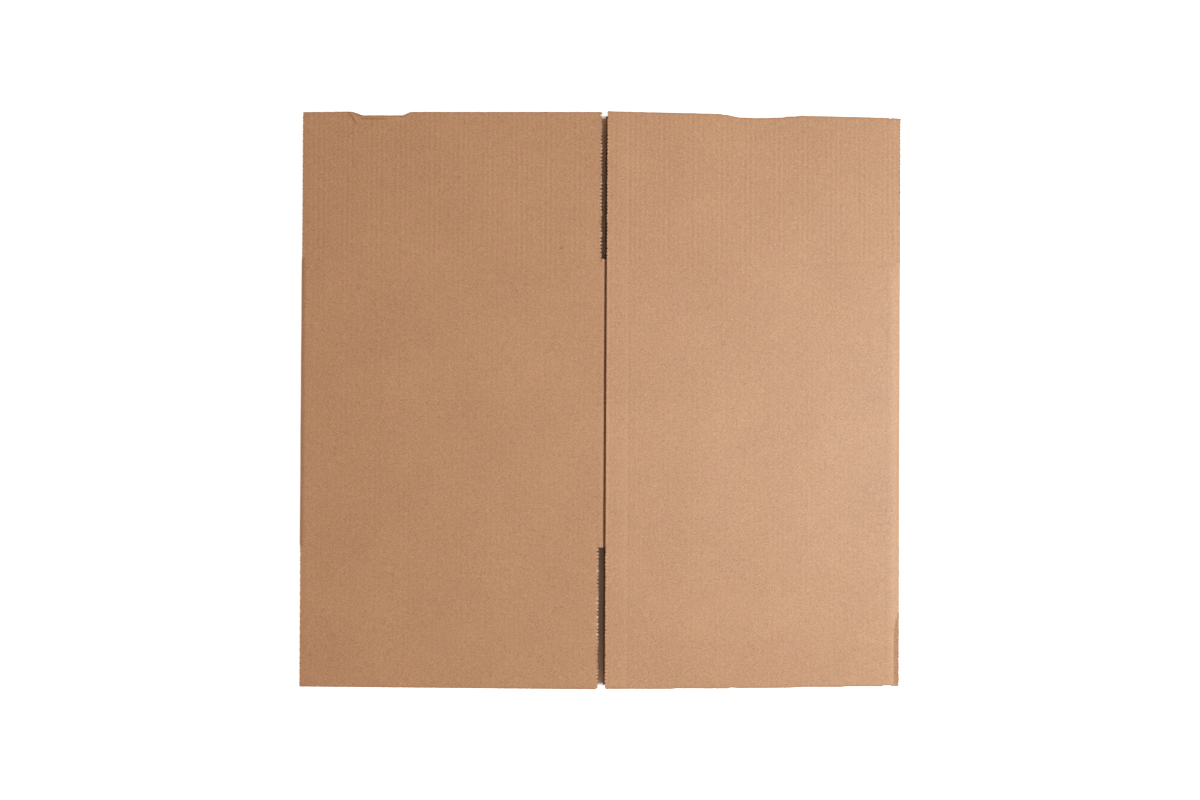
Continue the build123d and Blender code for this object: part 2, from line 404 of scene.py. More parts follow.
# Noises of the paper: waves a metre, detail, roughness, and the stretch along s, y and depth
paperNoises = {
    "clouds": {"scale": 9, "detail": 4, "rough": 0.55},
    "mottle": {"scale": 130, "detail": 3, "stretch": (1.0, 1.0, 40.0)},
    "grain": {"scale": 400, "stretch": (1.0, 1.0, 30.0)},
    "fineGrain": {"scale": 800, "stretch": (0.9, 1.1, 20.0)},
    "fibres": {"scale": 900, "detail": 3, "rough": 0.6, "stretch": (0.45, 1.3, 30.0)},
    "broken": {"scale": 60, "detail": 3, "rough": 0.6, "stretch": (1.0, 1.6, 1.0)},
    "patches": {"scale": 28, "stretch": (1.0, 1.0, 5.0)},
}
fluteFade = 12.0  # on each side of a score line, where the flutes' print changes its strength


# Faint broken streaks where the flutes press through: the sum of the sines of s over each pitch,
# times a short noise, and weaker on the body than on the top flaps.
def fluteStreaks(tree, vector, broken):
    parts = tree.nodes.new("ShaderNodeSeparateXYZ")
    link(tree, vector, parts.inputs[0])
    waves = []
    for pitch, size in ((box["bPitch"], 1.0), (box["cPitch"], kraft["cStreak"])):
        turns = mathNode(tree, "MULTIPLY", parts.outputs[0], 2 * math.pi / (pitch * toMetres))
        waves.append(mathNode(tree, "MULTIPLY", mathNode(tree, "SINE", turns, 0.0), size))
    upper = tree.nodes.new("ShaderNodeMapRange")
    upper.interpolation_type = "SMOOTHSTEP"
    link(tree, parts.outputs[1], upper.inputs["Value"])
    for slot, value in (("From Min", (yTopScore - fluteFade) * toMetres),
                        ("From Max", (yTopScore + fluteFade) * toMetres),
                        ("To Min", kraft["bodyStreak"]), ("To Max", 1.0)):
        upper.inputs[slot].default_value = value
    lines = mathNode(tree, "MULTIPLY", mathNode(tree, "ADD", waves[0], waves[1]), broken)
    return mathNode(tree, "MULTIPLY", lines, upper.outputs["Result"])


# Kraft liner: broad cloudy colour, fibres, grain in three sizes, and the flutes' streaks. Each
# channel is multiplied by 1 + tint * change + its own tint * (paperShade - 1), so that pale fibres are
# greyer and dark ones browner. PaperShade carries wear and marks, and also painted shade and painted
# highlights. Change = each grain's share of (noise - 1/2), plus the streaks. Wide
# patches also lean to yellow or to pink, by hue * (noise - 1/2).
def kraftPaper(name, tint=(1.0, 1.0, 1.0), streak=1.0, flecks=1.0):
    dark, light, fibreDark, fibreLight = (tuple(t * c for t, c in zip(tint, kraft[kind]))
                                          for kind in ("dark", "light", "fibreDark", "fibreLight"))
    middle = tuple(0.5 * (a + b) for a, b in zip(dark, light))
    material = bpy.data.materials.new(name)
    tree, shader = nodesOf(material)
    vector = attribute(tree, "boardPlace", "Vector")
    wearAndShade = attribute(tree, "paperShade", "Fac")
    patterns = {kind: noise(tree, vector, **look) for kind, look in paperNoises.items()}
    colour = ramp(tree, patterns["clouds"], list(zip(kraft["cloudStops"], (dark, light))))
    fibreColours = (fibreDark, middle, middle, fibreLight)
    flecked = ramp(tree, patterns["fibres"], list(zip(kraft["fibreStops"], fibreColours)))
    colour = blendColour(tree, "MIX", kraft["fibreShare"] * flecks, colour, flecked)
    lines = fluteStreaks(tree, vector, patterns["broken"])
    change = mathNode(tree, "MULTIPLY", lines, kraft["streak"] * streak)
    for kind, share in kraft["grains"].items():
        grain = mathNode(tree, "SUBTRACT", patterns[kind], 0.5)
        change = mathNode(tree, "ADD", change, mathNode(tree, "MULTIPLY", grain, share))
    shades = tree.nodes.new("ShaderNodeCombineColor")
    wearAndPaintedLight = mathNode(tree, "SUBTRACT", wearAndShade, 1.0)
    patches = mathNode(tree, "SUBTRACT", patterns["patches"], 0.5)
    for slot, share, wearAndShadeShare, hue in zip(shades.inputs, kraft["tints"], kraft["wearAndShadeTints"], kraft["hue"]):
        channel = mathNode(tree, "ADD", mathNode(tree, "MULTIPLY", change, share), 1.0)
        channel = mathNode(tree, "ADD", channel, mathNode(tree, "MULTIPLY", patches, hue))
        link(tree, mathNode(tree, "ADD", channel, mathNode(tree, "MULTIPLY", wearAndPaintedLight, wearAndShadeShare)), slot)
    colour = blendColour(tree, "MULTIPLY", 1.0, colour, shades.outputs[0])
    link(tree, colour, shader.inputs["Base Color"])
    spread = kraft["roughSpread"]
    rough = mathNode(tree, "MULTIPLY", patterns["fibres"], spread)
    link(tree, mathNode(tree, "ADD", rough, kraft["roughness"] - spread / 2), shader.inputs["Roughness"])
    shader.inputs["Specular IOR Level"].default_value = kraft["shine"]
    bump = tree.nodes.new("ShaderNodeBump")
    bump.inputs["Strength"].default_value = kraft["reliefStrength"]
    bump.inputs["Distance"].default_value = kraft["relief"]
    link(tree, patterns["fibres"], bump.inputs["Height"])
    link(tree, bump.outputs["Normal"], shader.inputs["Normal"])
    return material


outerPaper = kraftPaper("outerKraft")
innerPaper = kraftPaper("innerKraft", tint=(0.94, 0.94, 0.94), streak=0.6, flecks=1.6)
cutPaper = kraftPaper("cutEdge", tint=(0.50, 0.40, 0.26), streak=0.0, flecks=2.4)
papers = [outerPaper, innerPaper, cutPaper]
print("paper made")

# Outward relief of the outer face, in millimetres, never above zero: the flutes show through as two
# ripples, the board waves a little, and the glue tab prints a line through the right wall. Each
# ripple is size * share * (sin(2 pi s / pitch) - 1), and the share is patchy and smaller lower down.
relief = {
    "ripple": 0.032, "ripple2": 0.018, "phase2": 1, "bodyShare": 0.45, "bottomShare": 0.3,
    "uneven": 0.6, "unevenSeed": 31, "unevenLengths": (35, 160),
    "waves": 0.35, "waveSeed": 11, "waveLengths": (90, 420), "scoreDip": 0.12, "dipWidth": 2.2,
    "tabLine": 29.5, "tabLineDepth": 0.16, "tabLineWidth": 1.6, "tabHump": 0.25, "tabHumpReach": (18, 32),
}


def outerRelief(s, y, side):
    r = relief
    bottomFade = smooth(-y, -yBottomScore - fluteFade, -yBottomScore + fluteFade)
    share = r["bodyShare"] + (1 - r["bodyShare"]) * smooth(y, yTopScore - fluteFade, yTopScore + fluteFade)
    share = share - (r["bodyShare"] - r["bottomShare"]) * bottomFade
    patches = np.clip(swell(s, y, r["unevenSeed"] + side, *r["unevenLengths"]), -1, 1)
    share = share * (1 - r["uneven"] + r["uneven"] * patches)
    ripple = r["ripple"] * share * (np.sin(2 * np.pi * s / box["bPitch"]) - 1)
    turns = 2 * np.pi * s / box["cPitch"] + r["phase2"]
    ripple = ripple + r["ripple2"] * share * (np.sin(turns) - 1)
    waves = r["waves"] * 0.5 * (swell(s, y, r["waveSeed"] + side, *r["waveLengths"]) - 1)
    dips = -r["scoreDip"] * sum(hump(y, line, r["dipWidth"]) for line in scoreLines)
    lift = ripple + waves + dips
    if side:
        tabLine = r["tabLineDepth"] * hump(s, r["tabLine"], r["tabLineWidth"])
        lift = lift - tabLine - r["tabHump"] * smooth(s, *r["tabHumpReach"])
    return np.minimum(lift, 0)


# Steps of the grids, in millimetres. A special place stands in for the even ones within the share
# "clear" of a step, or within "merge" millimetres. "flapFlutes" and "jointFlutes" are steps to a
# pitch, and inner liners take one column in "innerEvery".
steps = {
    "skin": box["bPitch"] / 6, "flapRows": 9.0, "wallRows": 12.0, "coarseRows": 20.0, "lower": 5.5,
    "tab": 3.0, "jointBand": 4.0, "clear": 0.35, "merge": 0.3, "flapFlutes": 8, "jointFlutes": 10,
    "innerEvery": 4, "markRows": 0.9,
}
nearJoint = (-2.1, -1.5, -1.0, -0.6, -0.3, -0.1)
pastJoint = (0.5, 1.2, 2.2, 3.2)


# Places along a wall: even steps, with the special places put in
def columns(start, end, step, special=()):
    places = np.arange(start, end, step)
    special = np.array([start, end, *special])
    clear = np.abs(places[:, None] - special).min(1) > step * steps["clear"]
    return np.unique(np.round(np.concatenate([places[clear], special]), 6))


# Some of the places, with the two ends of a stretch put in
def stretch(places, start, end):
    inside = (places > start + steps["merge"]) & (places < end - steps["merge"])
    return np.concatenate([[start], places[inside], [end]])


leftColumns = columns(leftFoldEnd, 0, steps["skin"], (leftFlapStart, leftFlatStart, -3.2, -2.7, *nearJoint))
rightColumns = columns(0, rightFoldEnd, steps["skin"], (*pastJoint, rightFlatEnd, rightFlapEnd))

# What can be seen into: a band at the open end, one down each side edge, and a little more
endBand = 42.0
sideBand = 14.0
bandMargin = 6.0

# Rows of a flap, from its score line and then from its end: close at the end, or plain
scoreRows = np.array([-6.0, -4.5, -3.0, -1.5, 0.0, 1.5, 3.0, 4.5, 6.0])
bandRows = (endBand, 28.0)
endRows = (20.0, 17.0, 14.5, 12.5, 11.0, *np.arange(10.0, 0.5, -0.8), 0.5, 0.0)
plainEndRows = (14.0, 4.0, 1.0, 0.0)
firstRow = 12.0
lastRowGap = 2.0


def flapRows(length, coarse=steps["flapRows"], ends=plainEndRows):
    middle = np.arange(firstRow, length - endBand - lastRowGap, coarse)
    return np.concatenate([scoreRows, middle, length - np.array([*bandRows, *ends])])


# Grid of a flap: the last rows shift with the cut edge, t' = t0 + (t - t0) * (band - bump) / band,
# where t0 is the start of the end band.
def flapGrid(path, cols, rows, length, sign):
    s = np.tile(cols, (len(rows), 1))
    t = np.tile(rows[:, None], (1, len(cols)))
    start = length - endBand
    t = np.where(t > start, start + (t - start) * (endBand - endBump(path, cols, sign)) / endBand, t)
    return s, t, (yTopScore if sign > 0 else yBottomScore) + sign * t


# Middles of a grid's cells along s and along its rows
def cellMiddles(s, t):
    return (s[:-1, :-1] + s[:-1, 1:]) / 2, (t[:-1, :-1] + t[1:, :-1]) / 2


# Cells of a flap that its open end or a side edge lets one see into
def seenCells(s, t, start, end, length):
    place, row = cellMiddles(s, t)
    atSide = (place < start + sideBand) | (place > end - sideBand)
    return (row > length - endBand - bandMargin) | ((row > 0) & atSide)


# Cells of a flap past its score line, and before it only where the wall is flat
def flapCells(f, s, t):
    place, row = cellMiddles(s, t)
    flatStart, flatEnd = f["flat"]
    return (row > 0) | ((place > flatStart) & (place < flatEnd))


# Bottom flaps run down the box, so their rows are turned round to keep the faces outward
def upward(sign, *grids):
    return grids if sign > 0 else tuple(grid[::-1] for grid in grids)


# The long cut edges: a strip of fine rows along each, whose last columns follow a ragged line. The
# line stands back by the knife's teeth, a pointed wave that comes and goes, and by uneven fibres: each
# is level + gain * a soft line, kept between 0 and 1. The teeth's share is given for the left and
# right edge of a left flap, then of a right flap. The last millimetres are pressed down at the cut
# end, and the outer side edges droop.
edgeLook = {
    "strip": 4.0, "columns": (0.0, 0.25, 0.5, 0.7, 0.85, 1.0), "stripPower": 1.5, "fromScore": (0.5, 4),
    "rows": 0.8, "toothPitch": 4.7, "tooth": 3.2, "toothPower": 1.5, "teeth": ((0.0, 1.0), (0.4, 0.3)),
    "uneven": 0.6, "proud": 1.4, "under": 2.2, "flare": 2.2, "flareLength": 4.5,
    "toothLengths": (9, 60), "toothLevel": 0.7, "toothGain": 0.7, "fibreLengths": (2.2, 16),
    "fibreLevel": 0.5, "fibreGain": 0.6, "seed": 30, "topSeed": 7, "fibreSeed": 40,
    "dark": 0.3, "darkWidth": 0.8, "droop": 0.3, "droopWidth": 9.0, "droopStart": 12,
    "press": 0.22, "pressWidth": 2.5, "beyond": 0.1,
}


# Pointed wave of the knife's teeth: 1 at the root of each notch and 0 midway between two
def knifeTeeth(y):
    return np.abs(2 * ((y / edgeLook["toothPitch"]) % 1) - 1)


def raggedLine(y, seed, teeth):
    e = edgeLook
    saw = knifeTeeth(y) ** e["toothPower"]
    comesAndGoes = e["toothLevel"] + e["toothGain"] * drift(y, seed, *e["toothLengths"])
    fibres = e["fibreLevel"] + e["fibreGain"] * drift(y, seed + e["fibreSeed"], *e["fibreLengths"])
    line = teeth * (e["tooth"] * saw * np.clip(comesAndGoes, 0, 1) - e["proud"])
    return line + e["uneven"] * np.clip(fibres, 0, 1)


# Fibres at a slot's edge: dark in the notches between the knife's teeth, partly crushed paper and partly
# painted shade, and pale where bits of liner tore
tears = {
    "reach": 1.5, "width": 1.2, "crushed": 0.85, "torn": 1.6, "tip": 0.8,
    "seed": 61, "lengths": (20, 90), "level": 0.6,
    "places": (-264.0, -270.5, -278.0, -289.0, -299.0, -312.0, -227.0),
}


def tornEdge(fromSide, y, sign, side):
    near = fade(fromSide, tears["reach"])
    teeth = knifeTeeth(y) ** 2
    some = np.clip(tears["level"] + drift(y, tears["seed"] + side, *tears["lengths"]), 0, 1)
    shade = 1 + near * some * (tears["tip"] * (1 - teeth) - tears["crushed"] * teeth)
    if side == 0 and sign < 0:
        bits = sum(hump(y, place, tears["width"]) for place in tears["places"])
        shade = shade + tears["torn"] * near * bits
    return shade


# Lighter, greyer bands beside the right fold, full within "near" and gone at "far": partly rubbed paper
# and partly a painted sheen where the fold turns to the light. A darker strip runs down the side of the
# lower right flap, which widens from its start to its full width: partly crushed paper and partly a
# painted shade where the crushed edge tilts away. Dark spots lie along the same edge: where a soft line
# times "spotGain" is over "least", between four places on the top flap, and about one place on the
# bottom flap.
edgeSheenAndMarks = {
    "near": 9.0, "far": 16.5, "top": 0.02, "body": 0.15, "bottom": 0.14,
    "stripStart": 278.0, "stripFull": 310.0, "stripEnd": 384.0, "stripWidth": 7.2, "strip": 0.3,
    "stripEdge": 0.8, "stripLeast": 0.1, "stripFade": 3,
    "spots": 0.7, "spotReach": 1.3, "spotGain": 1.6,
    "topSpots": {"seed": 73, "lengths": (5, 40), "least": 0.35, "from": (190, 215), "to": (355, 375)},
    "bottomSpots": {"seed": 74, "lengths": (3, 9), "least": 0.5, "at": 325, "width": 25},
}


def rubAndSheenBand(fromSide):
    return 1 - smooth(fromSide, edgeSheenAndMarks["near"], edgeSheenAndMarks["far"])


def edgeSpots(y, look):
    return np.clip(edgeSheenAndMarks["spotGain"] * drift(y, look["seed"], *look["lengths"]) - look["least"], 0, 1)


def flapSheenAndMarks(fromSide, y, sign):
    r = edgeSheenAndMarks
    if sign > 0:
        look = r["topSpots"]
        shade = 1 + r["top"] * rubAndSheenBand(fromSide)
        spots = edgeSpots(y, look) * smooth(y, *look["from"]) * (1 - smooth(y, *look["to"]))
    else:
        look = r["bottomSpots"]
        shade = 1 + r["bottom"] * rubAndSheenBand(fromSide)
        width = r["stripWidth"] * smooth(-y, r["stripStart"], r["stripFull"])
        inStrip = 1 - smooth(fromSide, width - r["stripEdge"], width + r["stripEdge"])
        inStrip = inStrip * (width > r["stripLeast"])
        inStrip = inStrip * (1 - smooth(-y, r["stripEnd"] - r["stripFade"], r["stripEnd"]))
        shade = shade - (r["strip"] + shade - 1) * inStrip
        spots = edgeSpots(y, look) * hump(-y, look["at"], look["width"])
    return shade * (1 - r["spots"] * spots * fade(fromSide, r["spotReach"]))


# Marks of handling on the flaps: straight creases and small spots, each from a start to an end in
# millimetres from the box's left side and below its uncut top, with a half width, a depth and a shade.
# A crease's shade is partly crushed paper and partly painted light: painted shade along its groove and
# a painted highlight along its raised ridge. A mark's strength is exp(-d^2 / (2 width^2)), where d is
# the distance from the straight line.
marks = (
    {"from": (64.0, 1.0), "to": (73.5, 15.0), "width": 1.2, "depth": 0.25, "shade": -0.36},
    {"from": (68.0, 1.0), "to": (76.0, 13.5), "width": 1.1, "depth": -0.03, "shade": 0.24},
    {"from": (80.5, 9.3), "to": (111.0, 9.7), "width": 0.7, "depth": 0.14, "shade": -0.46},
    {"from": (80.5, 7.6), "to": (132.0, 7.6), "width": 0.6, "depth": 0.0, "shade": 0.13},
    {"from": (70.0, 2.6), "to": (80.0, 5.8), "width": 0.7, "depth": 0.1, "shade": -0.25},
    {"from": (80.0, 5.6), "to": (134.0, 5.6), "width": 0.8, "depth": 0.1, "shade": -0.42},
    {"from": (134.0, 5.6), "to": (142.0, 1.8), "width": 1.2, "depth": 0.1, "shade": -0.28},
    {"from": (349.9, 182.4), "to": (350.4, 182.6), "width": 0.9, "depth": 0.05, "shade": -0.6},
    {"from": (326.0, 0.4), "to": (327.4, 1.0), "width": 0.9, "depth": 0.1, "shade": -0.4},
)


def marked(x, y):
    along, below = x - xLeft, yTop - y
    depth, shade = np.zeros_like(x), np.ones_like(x)
    for mark in marks:
        (x0, y0), (x1, y1) = mark["from"], mark["to"]
        span = (along - x0) * (x1 - x0) + (below - y0) * (y1 - y0)
        span = np.clip(span / ((x1 - x0) ** 2 + (y1 - y0) ** 2), 0, 1)
        away = (along - x0 - span * (x1 - x0)) ** 2 + (below - y0 - span * (y1 - y0)) ** 2
        strength = np.exp(-away / (2 * mark["width"] ** 2))
        depth = depth + mark["depth"] * strength
        shade = shade * (1 + mark["shade"] * strength)
    return depth, shade


# Each flap: 0 or 1 for the left or right wall, 1 or -1 for the top or bottom, its length, where it
# starts and ends along its path, and the stretch beside it where the wall is flat
leftFlat = (leftFlatStart, rightFlapEnd)
rightFlat = (-1.0, rightFlatEnd)
flaps = {
    "topLeft": {"side": 0, "sign": 1, "length": box["topFlap"], "path": leftFlapPath, "flat": leftFlat,
                "from": leftFlapStart, "to": box["jointGap"] - box["topSlot"],
                "node": "flap_top_left", "body": "top_left_flap"},
    "topRight": {"side": 1, "sign": 1, "length": box["topFlap"], "path": rightFlapPath, "flat": rightFlat,
                 "from": 0.0, "to": rightFlapEnd,
                 "node": "flap_top_right", "body": "top_right_flap"},
    "bottomLeft": {"side": 0, "sign": -1, "length": box["bottomFlap"], "path": leftFlapPath, "flat": leftFlat,
                   "from": leftFlapStart, "to": box["jointGap"] - box["bottomSlot"],
                   "node": "flap_bottom_left", "body": "bottom_left_flap"},
    "bottomRight": {"side": 1, "sign": -1, "length": box["bottomFlap"], "path": rightFlapPath,
                    "flat": rightFlat, "from": 0.0, "to": rightFlapEnd,
                    "node": "flap_bottom_right", "body": "bottom_right_flap"},
}


# One fluted sheet: its middle line thickened by half the paper each way, thinned at the score lines,
# and lowered with the outer face by "low".
def fluteSheet(store, path, s, y, middle, low, share, keep, faceDown=False):
    half = box["paper"] / 2
    layer(store, path, s, y, (middle - half) * share + low, (middle + half) * share + low, keep,
          faceDown=faceDown)


# Fluted bands near the open end and down both side edges, kept where they can be seen. Each sinks
# with the outer face, by sink * (1 - depth / board).
def fluteBands(store, path, start, end, rows, length, sign, faceDown=False, sinkAt=None):
    for top, height, pitch in flutes:
        cols = columns(start, end, pitch / steps["flapFlutes"])
        s, t, y = flapGrid(path, cols, rows, length, sign)
        middle = flute(s, top, height, pitch)
        keep = seenCells(s, t, start, end, length)
        low = sinkAt(s, t, y) * (1 - middle / board) if sinkAt else 0 * s
        s, y, middle, share, keep, low = upward(sign, s, y, middle, scored(y), keep, low)
        fluteSheet(store, path, s, y, middle, low, share, keep, faceDown)


# How far a flap's outer face lies low: its relief, the last millimetres pressed down at the cut, a
# little droop at the side edge, and a little for each millimetre that a tooth reaches past it
def flapSink(f, s, t, y):
    e = edgeLook
    fromEnd = f["length"] - endBump(f["path"], s, f["sign"]) - t
    outer = (f["to"] - s) if f["side"] else (s - f["from"])
    droop = e["droop"] * (1 - smooth(outer, 0, e["droopWidth"])) * smooth(t, 0, e["droopStart"])
    beyond = e["beyond"] * (np.maximum(s - f["to"], 0) + np.maximum(f["from"] - s, 0))
    press = e["press"] * (1 - smooth(fromEnd, 0, e["pressWidth"]))
    return press + droop + beyond - outerRelief(s, y, f["side"])


# A flap's outer liner, with its relief, wear and marks. Edge is None for the middle, and 0 or 1 for
# the strip along its left or right side. There s moves back by the ragged line, times the share of
# the strip that is crossed, to a power, and times a soft start at the score line.
def outerSkin(store, f, cols, rows, edge=None):
    e, path, side, sign, length = edgeLook, f["path"], f["side"], f["sign"], f["length"]
    start, end = f["from"], f["to"]
    atSlot = edge is not None and edge != side
    s, t, y = flapGrid(path, cols, rows, length, sign)
    keep = flapCells(f, s, t)
    if edge is not None:
        towards = 1 if edge else -1
        stripStart = end - e["strip"] if edge else start + e["strip"]
        share = np.clip(towards * (s - stripStart) / e["strip"], 0, 1) ** e["stripPower"]
        share = share * smooth(t, *e["fromScore"])
        seed = e["seed"] + 2 * side + edge + e["topSeed"] * (sign > 0)
        cutBack = raggedLine(y, seed, e["teeth"][side][edge])
        if atSlot and sign < 0:
            cutBack = cutBack + e["flare"] * smooth(t, length - e["flareLength"], length)
        s = s - towards * share * cutBack
    fromEnd = length - endBump(path, s, sign) - t
    fromSide = np.minimum(s - start, end - s) if edge is None else (end - s if edge else s - start)
    worn, shade = marked(path(s)[0], y)
    dark = np.maximum(fade(fromEnd, e["darkWidth"]), fade(fromSide, e["darkWidth"]) * (edge is not None))
    shade = shade * (1 - e["dark"] * dark)
    if atSlot:
        shade = shade * tornEdge(fromSide, y, sign, side)
    if side:
        shade = shade * flapSheenAndMarks(end - s, y, sign)
    sink = np.maximum(flapSink(f, s, t, y) + worn, 0)
    s, y, keep, share, sink, shade = upward(sign, s, y, keep, scored(y), sink, shade)
    layer(store, path, s, y, sink, box["liner"] * share + sink, keep, outerPaints, shade=shade)


def innerLiner(store, f, cols, rows, front, banded=False):
    s, t, y = flapGrid(f["path"], cols, rows, f["length"], f["sign"])
    keep = seenCells(s, t, f["from"], f["to"], f["length"]) if banded else flapCells(f, s, t)
    s, y, keep, share = upward(f["sign"], s, y, keep, scored(y))
    layer(store, f["path"], s, y, front * share, (front + box["liner"]) * share, keep)


# Rows beside each mark that lies clear of a flap's fine end rows
def markRows(length):
    spots = [yTop - mark["from"][1] - yTopScore for mark in marks]
    near = steps["markRows"]
    return [[spot - near, spot, spot + near] for spot in spots if scoreRows[-1] < spot < length - endBand]


def makeFlap(label):
    f = flaps[label]
    strip, under, side, sign, length = edgeLook["strip"], edgeLook["under"], f["side"], f["sign"], f["length"]
    start, end = f["from"], f["to"]
    every = rightColumns if side else leftColumns
    underStart, underEnd = (start + under, end) if side else (start, end - under)
    rows = flapRows(length, ends=endRows)
    rows = np.unique(np.concatenate([rows, *(markRows(length) if label == "topLeft" else [])]))
    fine = np.arange(0.0, length - edgeLook["rows"], edgeLook["rows"])
    fine = fine[np.abs(fine[:, None] - rows).min(1) > steps["merge"]]
    fine = np.unique(np.concatenate([rows, fine]))
    store = []
    outerSkin(store, f, stretch(every, start + strip, end - strip), rows)
    inset = strip * (1 - np.array(edgeLook["columns"]))
    outerSkin(store, f, end - inset, fine, 1)
    outerSkin(store, f, start + inset[::-1], fine, 0)
    plain = flapRows(length)
    cols = stretch(every, underStart, underEnd)
    atFlat = np.isclose(cols[:, None], f["flat"]).any(1)
    coarse = np.unique(np.concatenate([cols[::steps["innerEvery"]], cols[-1:], cols[atFlat]]))
    innerLiner(store, f, coarse, plain, board - box["liner"])
    innerLiner(store, f, coarse, plain, middleLiner, banded=True)
    fluteBands(store, f["path"], underStart, underEnd, plain, length, sign,
               sinkAt=lambda s, t, y: flapSink(f, s, t, y))
    piece = makePiece(label + "Flap", store, papers)
    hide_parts(f["node"])
    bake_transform(piece)


for label in flaps:
    makeFlap(label)
print("flaps made")

# Rows across a wall between its two score lines: close together near them, and even between
nearScore = np.array([0.0, 1.5, 3.0, 4.5, 6.0, 9.0])
evenFrom, evenTo = yBottomScore + 18, yTopScore - 17


def wallRows(step):
    middle = np.arange(evenFrom, evenTo, step)
    return np.concatenate([yBottomScore + nearScore, middle, yTopScore - nearScore[::-1]])


# The outer face turns down at the tab's score: drop = d (1 - (1 - u^5)^(1/5)), where d is the tab's
# drop and u goes from 0 to 1 over the last d millimetres before the score.
def shoulder(s):
    u = np.clip(s / tabDrop + 1, 0, 1)
    return tabDrop * (1 - (1 - u**5) ** 0.2)


# Shade at the joint: the left wall's rounded shoulder gets a painted highlight, and a painted shade at
# the very score, down in the joint gap; the right wall's cut edge is dark, then a little lighter. Each
# has a share, a place and a width.
jointLook = {
    "shoulder": 0.16, "shoulderAt": -2.0, "shoulderWidth": 1.0, "score": 0.4, "scoreFrom": -0.4,
    "cut": 0.25, "cutWidth": 0.5, "rim": 0.09, "rimAt": 2.2, "rimWidth": 1.0,
}


def jointShade(s, side):
    j = jointLook
    if side == 0:
        # a painted highlight on the rounded shoulder, then a painted shade at the score in the gap
        wearAndPaintedLight = 1 + j["shoulder"] * hump(s, j["shoulderAt"], j["shoulderWidth"])
        return wearAndPaintedLight - j["score"] * smooth(s, j["scoreFrom"], 0)
    shade = 1 - j["cut"] * np.exp(-s / j["cutWidth"]) + j["rim"] * hump(s, j["rimAt"], j["rimWidth"])
    # painted sheen, with some rubbed paper, on the band beside the right fold
    return shade * (1 + edgeSheenAndMarks["body"] * rubAndSheenBand(rightFlapEnd - s))


# An upper wall: its outer and inner liners, and inside the fold a solid core, so that no gap shows
def makeWall(path, every, side):
    store = []
    liner, reach = box["liner"], box["hingeReach"]
    rows = wallRows(steps["wallRows"])
    s, y = np.meshgrid(every, rows)
    place, row = cellMiddles(s, y)
    inTop, inBottom = row > yTopScore - reach, row < yBottomScore + reach
    if side == 0:
        flapTop = (place > leftFlatStart) & (place < box["jointGap"] - box["topSlot"])
        flapBottom = (place > leftFlatStart) & (place < box["jointGap"] - box["bottomSlot"])
    else:
        flapTop = flapBottom = place < rightFlatEnd
    keep = ~((inTop & flapTop) | (inBottom & flapBottom))
    flat = (s < rightFlatEnd) if side else (s > leftFlatStart)
    share = np.where(flat, scored(y), 1.0)
    sink = -outerRelief(s, y, side)
    press = 0.0 if side else shoulder(s)
    share = share * (board - press) / board
    layer(store, path, s, y, sink + press, press + liner * share + sink, keep, outerPaints,
          shade=jointShade(s, side))
    layer(store, path, s, y, press + (board - liner) * share, press + board * share, keep)
    if side:
        cutEdgeBands(store, path, rows)
    foldS = every[every >= rightFlatEnd] if side else every[every <= leftFlatStart]
    coreS, coreY = np.meshgrid(foldS, rows)
    layer(store, path, coreS, coreY, liner - outerRelief(coreS, coreY, side), board - liner)
    return store


# Flutes and middle liner behind the right wall's cut edge at the joint
def cutEdgeBands(store, path, rows):
    for top, height, pitch in flutes:
        s, y = np.meshgrid(columns(0.0, sideBand, pitch / steps["jointFlutes"]), rows)
        middle = flute(s, top, height, pitch)
        low = -outerRelief(s, y, 1) * (1 - middle / board)
        fluteSheet(store, path, s, y, middle, low, scored(y), None)
    s, y = np.meshgrid(columns(0.0, sideBand, steps["jointBand"]), rows)
    layer(store, path, s, y, middleLiner, middleLiner + box["liner"])


tabLook = {"start": -3.0, "sunk": 0.03, "deepShade": 0.45, "lightFrom": (3, 8)}


# The glue tab: its ends taper, y' = middle + (y - middle) * (1 - s * tan(end angle) / half height),
# and its top is painted darker deep under the right wall's edge, a painted shade in the joint gap.
def makeTab(store):
    cols = columns(tabLook["start"], box["tabWidth"], steps["tab"], (*nearJoint, 0.0, 1.1, 2.2))
    s, y = np.meshgrid(cols, wallRows(steps["coarseRows"]))
    middle = (yTopScore + yBottomScore) / 2
    narrow = np.maximum(s, 0) * math.tan(math.radians(box["tabEndAngle"]))
    y = middle + (y - middle) * (1 - narrow / (box["bodyHeight"] / 2))
    keep = cellMiddles(s, y)[0] > 0
    shade = tabLook["deepShade"] + (1 - tabLook["deepShade"]) * smooth(s, *tabLook["lightFrom"])
    layer(store, leftPath, s, y, shoulder(s) + tabLook["sunk"], board, keep, shade=shade)


leftStore = makeWall(leftPath, leftColumns, 0)
makeTab(leftStore)
leftWall = makePiece("leftWall", leftStore, papers)
rightWall = makePiece("rightWall", makeWall(rightPath, rightColumns, 1), papers)
print("upper walls made")

# Lower layer: its underside is rubbed by up to "rub" millimetres for each unit of a soft surface,
# and its inner face is painted darker beside the slots, a painted shade where the slots' shadow falls.
lowerLook = {"rub": 0.03, "rubSeed": 5, "rubLengths": (30, 200), "slotShade": 0.45, "slotShadeWidth": 9,
             "scoreColumns": (-5, -2.5, 0, 2.5, 5)}


